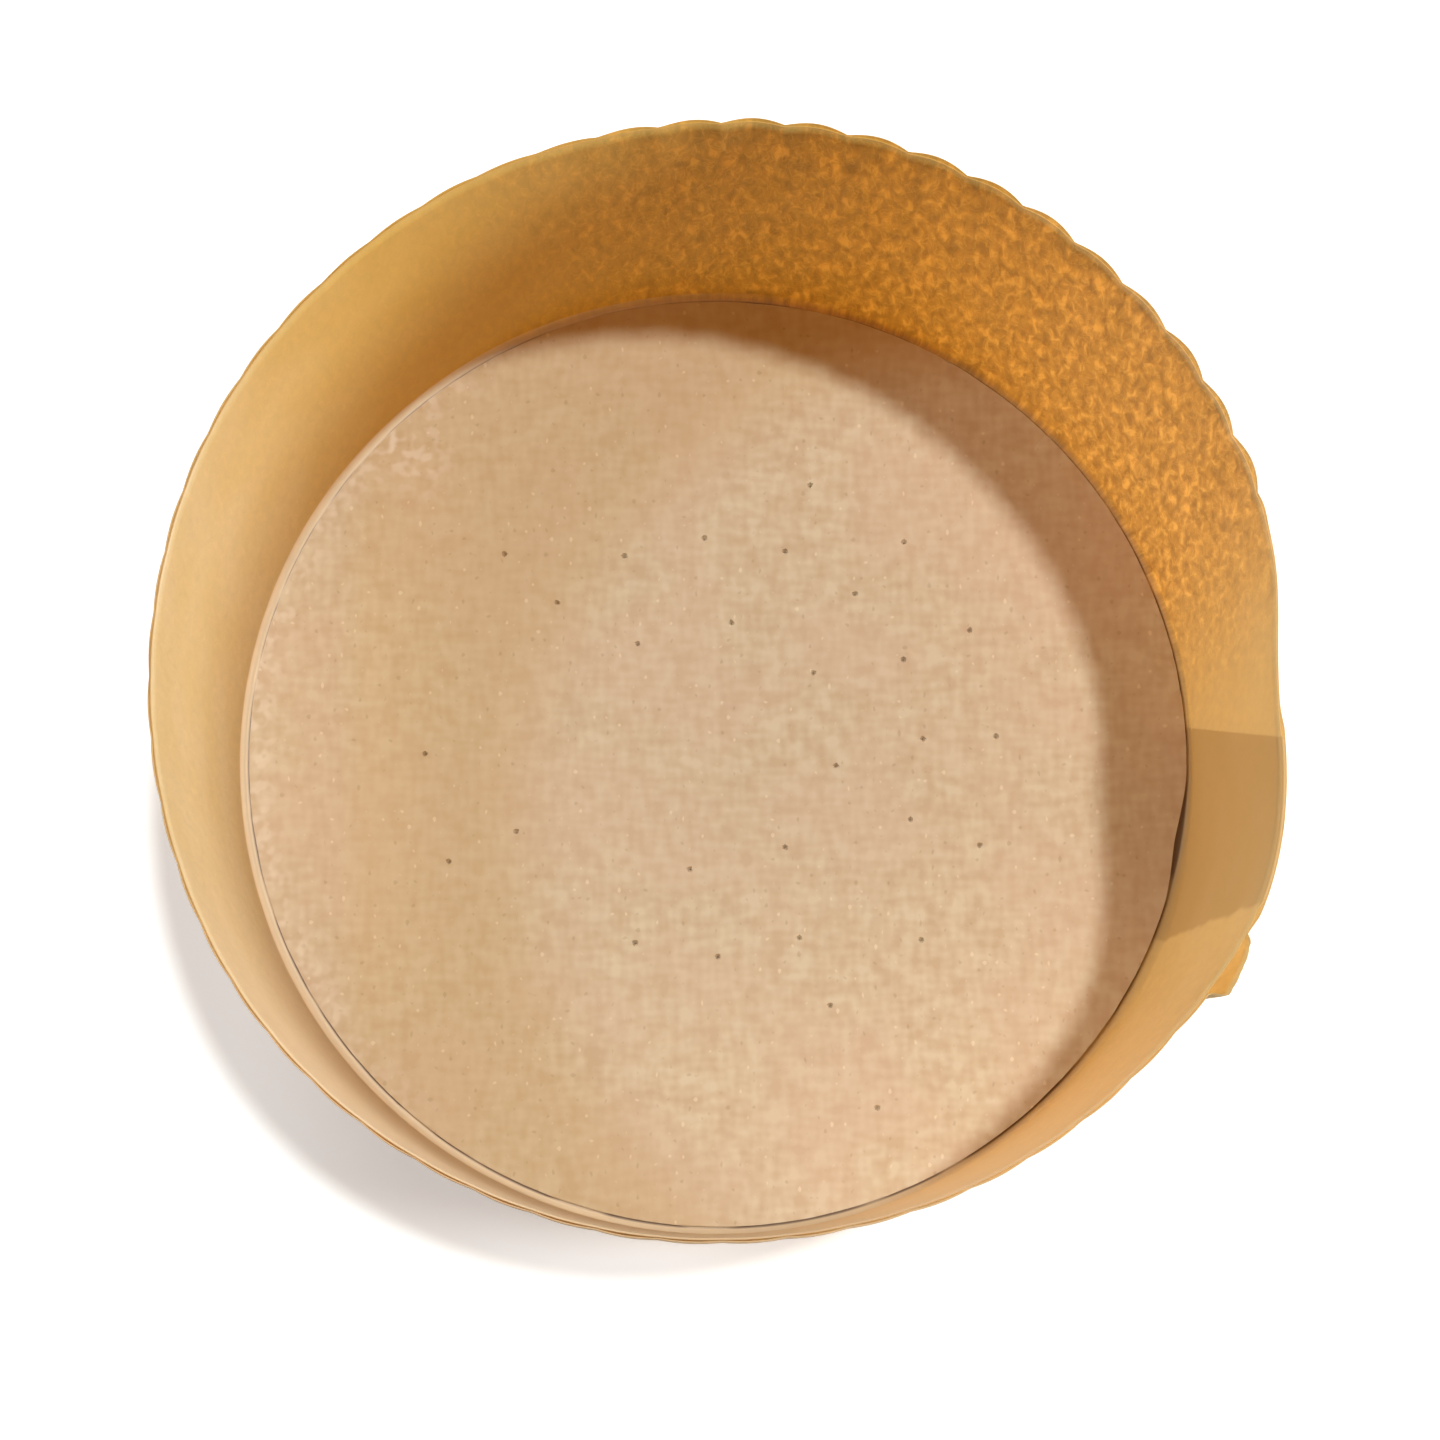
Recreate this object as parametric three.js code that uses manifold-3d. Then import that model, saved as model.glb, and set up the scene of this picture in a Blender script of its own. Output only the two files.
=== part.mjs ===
// A round paper baking mould, in millimetres, +Z up, with its origin at the centre of its underside.
// A smooth kraft strip is the wall. Its lower edge folds in as notched tabs, and its ends lap and are glued.
// A vented board disc lies on the tabs, and a fluted kraft strip is wrapped round the outside of the wall.
import * as THREE from 'three';
import { mergeVertices } from 'three/addons/utils/BufferGeometryUtils.js';
import Module from 'manifold-3d';

const wasm = await Module();
wasm.setup();

// Overall sizes
const innerDiameter = 100;
const wallHeight = 40;

// Sheets, and the thin film of glue that lies between two of them
const wallThickness = 0.25;
const fluteSheetThickness = 0.25;
const discThickness = 0.5;
const glueLine = 0.05;

// Folded foot of the wall
const foldRadius = 1.05;
const tabLength = 7;
const notchSpacing = 11.25;
const notchWidth = 1.4;
const notchRootGap = 1.2;

// Base disc and its pin vents, on rings whose spokes are numbered from the one nearest +X, counted towards +Y
const discEdgeGap = 0.8;
const ventDiameter = 0.75;
const ventSides = 10;
const ventStartAngle = 1.85;
const ventCentre = [-0.8, 0.8];
const ventRings = [
  { radius: 13.3, spokes: 8, turn: -11.25, open: [0, 1, 2, 3, 6, 7] },
  { radius: 22.3, spokes: 16, turn: 0, open: [0, 1, 2, 3, 4, 5, 6, 9, 11, 12, 13, 15] },
  { radius: 30, spokes: 16, turn: 0, open: [0, 1, 2, 3, 6, 8, 9, 13, 14, 15] },
  { radius: 41.6, spokes: 16, turn: 0, open: [13] },
];

// Glued lap of the wall strip, as angles from +X in degrees
const lapLowAngle = -23.2;
const lapHighFootAngle = 3.3;
const lapHighRimAngle = -6.2;

// Fluted strip: its flutes are full on one side, shallow on the other, and pressed flat over the lap
const fluteCount = 56;
const fluteHeight = 0.6;
const shallowFluteHeight = 0.24;
const fullFlutesEnd = 100;
const flatStart = -26;
const flatEnd = 14;
const fluteFade = 6;
const flutedLift = 0.5;
const lapStepWidth = 1.6;

// One flute next to the lap came loose and stands proud, most at the rim
const looseStart = -33.5;
const looseEnd = -26.5;
const looseHeightRim = 1.3;
const looseHeightFoot = 0.3;

// Fineness of the facets
const ringSegments = 128;
const foldSegments = 2;
const fluteSegments = 8;
const slantRows = 5;
const lapColumns = 14;

// Values that follow from the ones above
const innerRadius = innerDiameter / 2;
const outerRadius = innerRadius + wallThickness;
const tabInnerRadius = innerRadius - tabLength;
const discRadius = innerRadius - discEdgeGap;
const lapOuterRadius = outerRadius + wallThickness;
const flutePitch = 360 / fluteCount;

const liner = new THREE.MeshStandardMaterial({ color: 0xd99a45, roughness: 0.62, metalness: 0 });
const wrap = new THREE.MeshStandardMaterial({ color: 0xc88a3c, roughness: 0.7, metalness: 0 });
const board = new THREE.MeshStandardMaterial({ color: 0xc9a27c, roughness: 0.85, metalness: 0 });

function mix(a, b, t) {
  return a + (b - a) * t;
}

// Rises from 0 at one end to 1 at the other, level outside them
function rise(value, from, to) {
  return THREE.MathUtils.smoothstep((value - from) / (to - from), 0, 1);
}

function atAngle(radius, degrees, z) {
  const angle = THREE.MathUtils.degToRad(degrees);
  return new THREE.Vector3(radius * Math.cos(angle), radius * Math.sin(angle), z);
}

function toSolid(geometry) {
  const bare = geometry.clone();
  bare.deleteAttribute('normal');
  bare.deleteAttribute('uv');
  const merged = mergeVertices(bare, 1e-4);
  return new wasm.Manifold(new wasm.Mesh({
    numProp: 3,
    vertProperties: new Float32Array(merged.attributes.position.array),
    triVerts: new Uint32Array(merged.index.array),
  }));
}

function toGeometry(solid) {
  const mesh = solid.getMesh();
  const geometry = new THREE.BufferGeometry();
  geometry.setAttribute('position', new THREE.BufferAttribute(new Float32Array(mesh.vertProperties), 3));
  geometry.setIndex(new THREE.BufferAttribute(new Uint32Array(mesh.triVerts), 1));
  geometry.computeVertexNormals();
  return geometry;
}

// Triangles between two lines of points that share their ends' heights, where one may have more points
function zip(left, right, triangles) {
  let i = 0;
  let j = 0;
  while (i < left.length - 1 || j < right.length - 1) {
    const leftShare = (i + 1) / (left.length - 1);
    const rightShare = (j + 1) / (right.length - 1);
    if (j < right.length - 1 && (i === left.length - 1 || rightShare <= leftShare)) {
      triangles.push([left[i], right[j], right[j + 1]]);
      j += 1;
    } else {
      triangles.push([left[i], right[j], left[i + 1]]);
      i += 1;
    }
  }
}

// A standing sheet from upright columns of points, counted anticlockwise seen from above.
// Each column has an inner and an outer line of points from foot to rim.
function standingSheet(columns, closed) {
  const triangles = [];
  const steps = closed ? columns.length : columns.length - 1;
  for (let i = 0; i < steps; i += 1) {
    const here = columns[i];
    const next = columns[(i + 1) % columns.length];
    zip(here.outer, next.outer, triangles);
    zip(next.inner, here.inner, triangles);
    zip([here.outer.at(-1), here.inner.at(-1)], [next.outer.at(-1), next.inner.at(-1)], triangles);
    zip([here.inner[0], here.outer[0]], [next.inner[0], next.outer[0]], triangles);
  }
  if (!closed) {
    zip(columns[0].inner, columns[0].outer, triangles);
    zip(columns.at(-1).outer, columns.at(-1).inner, triangles);
  }
  const positions = triangles.flatMap((corners) => corners.flatMap((point) => point.toArray()));
  const geometry = new THREE.BufferGeometry();
  geometry.setAttribute('position', new THREE.Float32BufferAttribute(positions, 3));
  const merged = mergeVertices(geometry, 1e-4);
  merged.computeVertexNormals();
  return merged;
}

// Turns a section round the upright axis
function turned(section) {
  const geometry = new THREE.LatheGeometry(section.getPoints(foldSegments), ringSegments);
  geometry.rotateX(Math.PI / 2);
  return toSolid(geometry);
}

// The wall, its rounded fold and the ring that is then notched into tabs
function wallSection() {
  const innerFoldRadius = Math.max(foldRadius - wallThickness, 0.05);
  const section = new THREE.Path();
  section.moveTo(tabInnerRadius, 0);
  section.lineTo(outerRadius - foldRadius, 0);
  section.absarc(outerRadius - foldRadius, foldRadius, foldRadius, -Math.PI / 2, 0, false);
  section.lineTo(outerRadius, wallHeight);
  section.lineTo(innerRadius, wallHeight);
  section.lineTo(innerRadius, foldRadius);
  section.absarc(innerRadius - innerFoldRadius, foldRadius, innerFoldRadius, 0, -Math.PI / 2, true);
  section.lineTo(tabInnerRadius, wallThickness);
  section.lineTo(tabInnerRadius, 0);
  return section;
}

// A wedge that opens the ring between two tabs, from a point near the fold to its free edge
function notch(degrees) {
  const root = innerRadius - foldRadius - notchRootGap;
  const outline = new THREE.Shape();
  outline.moveTo(root, 0);
  outline.lineTo(tabInnerRadius - 1, notchWidth / 2);
  outline.lineTo(tabInnerRadius - 1, -notchWidth / 2);
  outline.closePath();
  const geometry = new THREE.ExtrudeGeometry(outline, { depth: 3 * wallThickness, bevelEnabled: false });
  geometry.translate(0, 0, -wallThickness);
  geometry.rotateZ(THREE.MathUtils.degToRad(degrees));
  return toSolid(geometry);
}

// The second layer where the strip's ends lap. One edge is upright, and the other slants.
function lapLayer() {
  const columns = [];
  const innerFace = outerRadius - wallThickness / 2;
  for (let i = 0; i <= lapColumns; i += 1) {
    const column = { inner: [], outer: [] };
    for (let row = 0; row <= slantRows; row += 1) {
      const height = row / slantRows;
      const highAngle = mix(lapHighFootAngle, lapHighRimAngle, height);
      const angle = mix(lapLowAngle, highAngle, i / lapColumns);
      const z = mix(foldRadius, wallHeight, height);
      column.inner.push(atAngle(innerFace, angle, z));
      column.outer.push(atAngle(lapOuterRadius, angle, z));
    }
    columns.push(column);
  }
  return toSolid(standingSheet(columns, false));
}

function makeWall() {
  let solid = turned(wallSection()).add(lapLayer());
  for (let degrees = notchSpacing / 2; degrees < 360; degrees += notchSpacing) {
    solid = solid.subtract(notch(degrees));
  }
  return toGeometry(solid);
}

// How high the flutes stand at an angle between flatStart and flatStart + 360
function fluteHeightAt(angle) {
  if (angle < flatEnd) return 0;
  const fullShare = rise(angle, flatEnd, flatEnd + fluteFade) * (1 - rise(angle, fullFlutesEnd, fullFlutesEnd + 4 * fluteFade));
  const shallowShare = 1 - rise(angle, flatStart + 360 - fluteFade / 2, flatStart + 360);
  return mix(shallowFluteHeight * shallowShare, fluteHeight, fullShare) * rise(angle, flatEnd, flatEnd + fluteFade);
}

// How far the fluted strip is turned aside at the rim, so that its step follows the lap's slanting edge
function slantAt(angle) {
  const full = lapHighRimAngle - lapHighFootAngle;
  const stepEnd = lapHighFootAngle + lapStepWidth;
  return full * (angle > stepEnd ? 1 - rise(angle, stepEnd, flatEnd) : rise(angle, lapLowAngle, lapHighFootAngle));
}

// The fluted strip's inner radius at an angle, and at a height from 0 at its foot to 1 at its rim
function flutedInnerRadius(angle, height) {
  const overLap = rise(angle, lapLowAngle - 2 * lapStepWidth, lapLowAngle - lapStepWidth / 2)
    * (1 - rise(angle, lapHighFootAngle + lapStepWidth / 2, lapHighFootAngle + 2 * lapStepWidth));
  const flute = fluteHeightAt(angle < flatStart ? angle + 360 : angle) * Math.abs(Math.sin(Math.PI * angle / flutePitch));
  const looseShare = (angle - looseStart) / (looseEnd - looseStart);
  const loose = looseShare > 0 && looseShare < 1
    ? mix(looseHeightFoot, looseHeightRim, height) * Math.sin(Math.PI * looseShare)
    : 0;
  return outerRadius + glueLine + wallThickness * overLap + Math.max(flute, loose);
}

function makeFlutedWrap() {
  const columns = [];
  const columnStep = flutePitch / fluteSegments;
  const firstAngle = flatStart - 2 * flutePitch;
  for (let i = 0; i < fluteCount * fluteSegments; i += 1) {
    const angle = firstAngle + i * columnStep;
    const slanted = angle > lapLowAngle && angle < flatEnd;
    const rows = slanted ? slantRows : 1;
    const column = { inner: [], outer: [] };
    for (let row = 0; row <= rows; row += 1) {
      const height = row / rows;
      const inner = flutedInnerRadius(angle, height);
      const turnedAngle = slanted ? angle + slantAt(angle) * height : angle;
      const z = mix(flutedLift, wallHeight, height);
      column.inner.push(atAngle(inner, turnedAngle, z));
      column.outer.push(atAngle(inner + fluteSheetThickness, turnedAngle, z));
    }
    columns.push(column);
  }
  return standingSheet(columns, true);
}

function ventAt(ring, spoke) {
  const angle = ventStartAngle + ring.turn + spoke * 360 / ring.spokes;
  const centre = atAngle(ring.radius, angle, 0);
  const outline = new THREE.Path();
  for (let side = 0; side <= ventSides; side += 1) {
    const corner = atAngle(ventDiameter / 2, side * 360 / ventSides, 0).add(centre);
    const x = corner.x + ventCentre[0];
    const y = corner.y + ventCentre[1];
    if (side === 0) outline.moveTo(x, y);
    else outline.lineTo(x, y);
  }
  return outline;
}

function makeDisc() {
  const outline = new THREE.Shape();
  outline.absarc(0, 0, discRadius, 0, 2 * Math.PI, false);
  for (const ring of ventRings) {
    for (const spoke of ring.open) outline.holes.push(ventAt(ring, spoke));
  }
  return new THREE.ExtrudeGeometry(outline, { depth: discThickness, bevelEnabled: false, curveSegments: ringSegments / 2 });
}

function piece(name, geometry, material, z) {
  const mesh = new THREE.Mesh(geometry, material);
  mesh.name = name;
  mesh.position.z = z;
  return mesh;
}

const group = new THREE.Group();
group.add(piece('wall_liner', makeWall(), liner, 0));
group.add(piece('fluted_outer_wall', makeFlutedWrap(), wrap, 0));
group.add(piece('base_disc', makeDisc(), board, wallThickness + glueLine));

export default group;
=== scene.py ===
# A round kraft paper baking mould: a smooth wall, a fluted wrap and a vented board disc, in metres.
# Angles are in degrees from +X, turning towards +Y, and the mould stands at the origin.
import math

import bpy
import numpy as np
from mathutils.geometry import delaunay_2d_cdt
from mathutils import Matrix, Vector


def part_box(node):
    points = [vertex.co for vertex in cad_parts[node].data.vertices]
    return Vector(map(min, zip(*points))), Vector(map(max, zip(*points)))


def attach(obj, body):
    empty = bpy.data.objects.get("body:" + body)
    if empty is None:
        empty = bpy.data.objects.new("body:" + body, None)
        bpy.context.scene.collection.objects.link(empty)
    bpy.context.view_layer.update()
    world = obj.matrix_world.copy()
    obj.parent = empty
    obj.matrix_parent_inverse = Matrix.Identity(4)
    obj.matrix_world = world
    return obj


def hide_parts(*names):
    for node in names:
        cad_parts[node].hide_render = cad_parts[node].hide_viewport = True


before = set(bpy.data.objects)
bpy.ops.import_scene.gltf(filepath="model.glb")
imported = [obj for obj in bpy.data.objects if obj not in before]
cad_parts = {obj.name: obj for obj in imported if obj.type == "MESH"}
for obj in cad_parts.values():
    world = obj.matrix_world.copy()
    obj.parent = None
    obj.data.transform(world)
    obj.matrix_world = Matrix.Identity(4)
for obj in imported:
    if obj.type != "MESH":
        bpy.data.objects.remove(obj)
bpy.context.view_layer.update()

MM = 0.001
SEED = 11

# Sizes read from the frame
wall_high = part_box("wall_liner")[1]
wrap_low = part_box("fluted_outer_wall")[0]
disc_low, disc_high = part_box("base_disc")
WALL_HEIGHT = wall_high[2]
WRAP_FOOT = wrap_low[2]
DISC_RADIUS = (disc_high[0] - disc_low[0]) / 2
DISC_BOTTOM = disc_low[2]
DISC_TOP = disc_high[2]

# Sheets. The wall's foot folds in round a radius, with its points between two angles below level, and ends in
# tabs. A notch between tabs has its full width a little past their free edge
EDGE_GAP = 0.8 * MM
INNER_RADIUS = DISC_RADIUS + EDGE_GAP
SHEET = 0.25 * MM
RIM_SHEET = 0.09 * MM
THIN_START = 0.93
GLUE = 0.05 * MM
OUTER_RADIUS = INNER_RADIUS + SHEET
FOLD_RADIUS = 1.05 * MM
FOLD_FROM = -75
FOLD_TO = -15
TAB_LENGTH = 7 * MM
TAB_RADIUS = INNER_RADIUS - TAB_LENGTH
NOTCH_SPACING = 11.25
NOTCH_WIDTH = 1.4 * MM
NOTCH_ROOT = INNER_RADIUS - FOLD_RADIUS - 1.2 * MM
NOTCH_WIDTH_PAST_TAB = 1 * MM

# Lap of the wall strip: its sides, and how softly the second layer starts and ends
LAP_LOW = -23.2
LAP_HIGH_FOOT = 3.3
LAP_HIGH_RIM = -6.2
LAP_LOW_RAMP = 0.3
LAP_HIGH_RAMP = 0.2

# Bends of the standing wall: its lean towards +X and +Y at the rim, and the share of a bend at the foot
LEAN = (0.2 * MM, 0.95 * MM)
FOOT_BEND = 0.25

# Where the standing wall bulges at its rim: middle and width in degrees, and size in millimetres
BULGES = (
    (-24, 12, 1.05),
    (1, 11, -1.5),
    (22, 8, -0.3),
    (100, 12, -0.25),
    (152, 16, 0.25),
    (215, 28, 0.45),
    (278, 18, -0.4),
)

# Flutes of the wrap
FLUTES = 56
PITCH = 360 / FLUTES
FULL_FLUTE = 0.6 * MM
SHALLOW_FLUTE = 0.15 * MM
FLUTE_SHARES = (0.8, 1.0)
FLUTE_BLUNTNESS = 0.9
FADE = 6
FULL_END = 86
FULL_FADE = 4 * FADE
FLAT_START = -26
FLAT_END = 14
STEP = 1.6

# Shares of full and of shallow flutes that print through to the smooth wall at its rim, and what is left of
# that at its foot
FULL_PRINT = 0.5
SHALLOW_PRINT = 0.25
FOOT_PRINT = 0.12

# The flute that came loose beside the lap
LOOSE_START = -33.5
LOOSE_END = -26.5
LOOSE_RIM = 1.65 * MM
LOOSE_FOOT = 0.3 * MM
LOOSE_RISE = 0.16
LOOSE_BLUNTNESS = 0.4
TORN_DEPTH = 0.5 * MM

# How far the wall and the cut edges wander, and how far the edges stay below their full size
WALL_WANDER = 0.1 * MM
RIM_WANDER = 0.06 * MM
WRAP_RIM_WANDER = 0.07 * MM
WRAP_RIM_DIP = 0.08 * MM
DISC_WANDER = 0.05 * MM
DISC_DIP = 0.03 * MM

# Pin vents in the disc: each ring has its radius, its number of places, its turn and the open places
VENT_RADIUS = 0.375 * MM
VENT_TAPER = 0.2
VENT_WOBBLE = (0.8, 1.1)
VENT_START = 1.85
VENT_CENTRE = (-0.8 * MM, 0.8 * MM)
VENT_RINGS = (
    (13.3 * MM, 8, -11.25, (0, 1, 2, 3, 6, 7)),
    (22.3 * MM, 16, 0, (0, 1, 2, 3, 4, 5, 6, 9, 11, 12, 13, 15)),
    (30 * MM, 16, 0, (0, 1, 2, 3, 6, 8, 9, 13, 14, 15)),
    (41.6 * MM, 16, 0, (13,)),
)

# Small forms of the disc: burrs as places in millimetres, creases as an angle and a length in millimetres,
# waves in radians per metre, and one dent of the edge in degrees
BURRS = ((9.5, 28.7), (20.0, 10.5), (-28.5, -11.2), (-8.2, -19.8), (-21.4, 8.6))
BURR_HEIGHT = 0.1 * MM
BURR_WIDTH = 0.5 * MM
EDGE_CREASES = (
    (12.0, 2.4),
    (7.9, 3.6),
    (60.1, 3.0),
    (44.6, 3.6),
    (27.0, 2.2),
    (118.0, 3.0),
    (124.0, 4.0),
)
CREASE_DEPTH = 0.12 * MM
CREASE_WIDTH = 0.35 * MM
BOARD_WAVE = 0.03 * MM
WAVES_ALONG_X = 180
WAVES_ALONG_Y = 90
WAVES_BEND = 60
MOST_LIFT = 0.12 * MM
CREASE_END = 0.3
DENT_ANGLE = -11.0
DENT_WIDTH = 5.0
DENT_DEPTH = 0.55 * MM

# Fineness of the meshes
WALL_COLUMNS = 900
WALL_ROWS = 26
TAB_ROWS = 5
FOLD_ROWS = 4
WRAP_COLUMNS_PER_FLUTE = 18
WRAP_ROWS = 22
DISC_EDGE_POINTS = 420
DISC_SPACING = 0.85 * MM
ROW_SHARE = 0.866
VENT_SIDES = 12
CLEAR_OF_HOLES = 1.3 * MM
CLEAR_OF_EDGE = 0.5 * MM
SAME_PLACE = 1e-9

# Rings of points round the vents and burrs, as radii in millimetres
HOLE_RINGS = (0.55, 0.8, 1.1)

# Reach of a vent in vent radii: faces with their middle inside the first are left out, and points inside the
# second narrow with the vent. Faces with their middle past the edge by more than the slack are left out too
IN_VENT = 0.75
NEAR_VENT = 1.2
EDGE_SLACK = 0.02 * MM

rng = np.random.default_rng(SEED)


def rise(value, start, end):
    t = np.clip((value - start) / (end - start), 0, 1)
    return t * t * (3 - 2 * t)


def mix(a, b, t):
    return a + (b - a) * t


def turn_between(angle, other):
    """Degrees from the other angle to this one, from -180 to 180."""
    return (angle - other + 180) % 360 - 180


def polar(radius, turn, centre=(0, 0)):
    """A point at a turn in radians round a centre."""
    return centre[0] + radius * math.cos(turn), centre[1] + radius * math.sin(turn)


class RoundLine:
    """A fixed wandering line that can be read at any angle."""

    def __init__(self, orders, size):
        self.waves = [(k, rng.uniform(0, 2 * math.pi), rng.uniform(0.5, 1)) for k in orders]
        self.size = size / math.sqrt(len(orders))

    def __call__(self, angle):
        turn = np.radians(angle)
        return self.size * sum(weight * np.sin(k * turn + phase) for k, phase, weight in self.waves)


WALL_BEND = RoundLine((2, 3, 4, 5, 7), WALL_WANDER)
RIM_LINE = RoundLine((3, 5, 8, 13, 21), RIM_WANDER)
WRAP_RIM_LINE = RoundLine((4, 9, 17, 31, 56), WRAP_RIM_WANDER)
EDGE_LINE = RoundLine((6, 11, 23, 47, 71, 113), DISC_WANDER)


def object_from(name, vertices, faces, materials, smooth=True, slots=None):
    mesh = bpy.data.meshes.new(name)
    mesh.from_pydata(vertices.tolist(), [], faces)
    for material in materials:
        mesh.materials.append(material)
    if slots is not None:
        mesh.polygons.foreach_set("material_index", slots)
    if smooth:
        mesh.shade_smooth()
    mesh.update()
    piece = bpy.data.objects.new(name, mesh)
    bpy.context.scene.collection.objects.link(piece)
    return piece


def ring_faces(columns, points):
    """Faces of a closed section, given as a row of points at each column round the mould."""
    i, j = np.meshgrid(np.arange(columns), np.arange(points), indexing="ij")
    here, beside = i * points, ((i + 1) % columns) * points
    up = (j + 1) % points
    faces = np.stack((here + j, beside + j, beside + up, here + up), axis=-1)
    return faces.reshape(-1, 4).tolist()


def around(angle, radii, heights):
    turn = np.radians(angle)
    if turn.ndim == 1:
        turn = turn[:, None]
    return np.stack((radii * np.cos(turn), radii * np.sin(turn), heights), axis=-1)


# Shape of both sheets. A height is a share of the standing wall, from 0 at its foot to 1 at its rim

def wall_bend(angle, height):
    """How far the standing wall leaves a true circle: it leans a little, and it waves most at the rim."""
    turn = np.radians(angle)
    lean = (LEAN[0] * np.cos(turn) + LEAN[1] * np.sin(turn)) * height
    bulge = sum(size * MM * np.exp(-(turn_between(angle, middle) / width) ** 2)
                for middle, width, size in BULGES)
    return lean + (WALL_BEND(angle) + bulge) * mix(FOOT_BEND, 1, height)


def thinned(height):
    """Thickness of a sheet, which is pressed thin at its rim."""
    return mix(SHEET, RIM_SHEET, rise(height, THIN_START, 1.0))


def after_lap(angle):
    """The same angle, counted from the start of the pressed flutes to one turn past it."""
    return np.where(angle < FLAT_START, angle + 360, angle)


def full_share(angle):
    """1 where the flutes are full, and 0 where they are shallow."""
    return rise(angle, FLAT_END, FLAT_END + FADE) * (1 - rise(angle, FULL_END, FULL_END + FULL_FADE))


def flute_height(angle):
    """Height of the flutes at angles between FLAT_START and FLAT_START + 360."""
    shallow = 1 - rise(angle, FLAT_START + 360 - FADE / 2, FLAT_START + 360)
    height = mix(SHALLOW_FLUTE * shallow, FULL_FLUTE, full_share(angle))
    return np.where(angle < FLAT_END, 0, height * rise(angle, FLAT_END, FLAT_END + FADE))


def flute_print(angle, height):
    """How far the smooth wall follows the flutes glued to its back."""
    round_angle = after_lap(angle)
    share = mix(SHALLOW_PRINT, FULL_PRINT, full_share(round_angle)) * mix(FOOT_PRINT, 1.0, height ** 3)
    return flute_height(round_angle) * np.abs(np.sin(np.pi * angle / PITCH)) * share


# Wall strip

def lap_share(angle, height):
    """1 where the wall has its second layer."""
    high = mix(LAP_HIGH_FOOT, LAP_HIGH_RIM, height)
    past_low = rise(angle, LAP_LOW - LAP_LOW_RAMP, LAP_LOW + LAP_LOW_RAMP)
    return past_low * (1 - rise(angle, high - LAP_HIGH_RAMP, high + LAP_HIGH_RAMP))


def notch_line(angle):
    """How far in the tabs reach at an angle: to their free edge, or to the side of a notch."""
    off = np.abs(angle % NOTCH_SPACING - NOTCH_SPACING / 2)
    spread = np.radians(off)
    slope = NOTCH_WIDTH / 2 / (NOTCH_ROOT - TAB_RADIUS + NOTCH_WIDTH_PAST_TAB)
    side = NOTCH_ROOT * slope / (spread + slope)
    return np.clip(side, TAB_RADIUS, NOTCH_ROOT)


def wall_section(angle):
    """Radius and height of the wall's closed section at each angle, from the tabs' free edge outwards."""
    inner_fold = FOLD_RADIUS - SHEET
    tab = notch_line(angle)
    radii, heights = [], []
    for t in np.linspace(0, 1, TAB_ROWS):
        radii.append(mix(tab, OUTER_RADIUS - FOLD_RADIUS, t))
        heights.append(np.zeros_like(angle))
    for turn in np.radians(np.linspace(FOLD_FROM, FOLD_TO, FOLD_ROWS)):
        radii.append(np.full_like(angle, OUTER_RADIUS - FOLD_RADIUS + FOLD_RADIUS * math.cos(turn)))
        heights.append(np.full_like(angle, FOLD_RADIUS + FOLD_RADIUS * math.sin(turn)))
    rim = WALL_HEIGHT + np.minimum(RIM_LINE(angle) - RIM_WANDER, 0)
    for t in np.linspace(0, 1, WALL_ROWS):
        layer = SHEET * lap_share(angle, t)
        radii.append(OUTER_RADIUS + layer + wall_bend(angle, t) + flute_print(angle, t))
        heights.append(mix(FOLD_RADIUS, rim, t))
    for t in np.linspace(1, 0, WALL_ROWS):
        radii.append(OUTER_RADIUS - thinned(t) + wall_bend(angle, t) + flute_print(angle, t))
        heights.append(mix(FOLD_RADIUS, rim, t))
    for turn in np.radians(np.linspace(FOLD_TO, FOLD_FROM, FOLD_ROWS)):
        radii.append(np.full_like(angle, INNER_RADIUS - inner_fold + inner_fold * math.cos(turn)))
        heights.append(np.full_like(angle, FOLD_RADIUS + inner_fold * math.sin(turn)))
    for t in np.linspace(1, 0, TAB_ROWS):
        radii.append(mix(tab, INNER_RADIUS - inner_fold, t))
        heights.append(np.full_like(angle, SHEET))
    return np.stack(radii, axis=1), np.stack(heights, axis=1)


def make_wall(inside, outside):
    """The wall strip. Its section starts with the outside, and the inside takes its last points."""
    angle = np.linspace(0, 360, WALL_COLUMNS, endpoint=False) - 180
    radii, heights = wall_section(angle)
    vertices = around(angle, radii, heights)
    points = radii.shape[1]
    first_inside = points - WALL_ROWS - FOLD_ROWS - TAB_ROWS
    back = (np.arange(points) < first_inside).astype(int)
    slots = np.tile(back, WALL_COLUMNS)
    faces = ring_faces(*radii.shape)
    return object_from("paper_wall", vertices.reshape(-1, 3), faces, (inside, outside), slots=slots)


# Fluted strip

def slant(angle):
    """Turn of the wrap at its rim, so that its step follows the lap's slanting edge."""
    full = LAP_HIGH_RIM - LAP_HIGH_FOOT
    step_end = LAP_HIGH_FOOT + STEP
    past = 1 - rise(angle, step_end, FLAT_END)
    before = rise(angle, LAP_LOW, LAP_HIGH_FOOT)
    inside = (angle > LAP_LOW) & (angle < FLAT_END)
    return np.where(inside, full * np.where(angle > step_end, past, before), 0)


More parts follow.
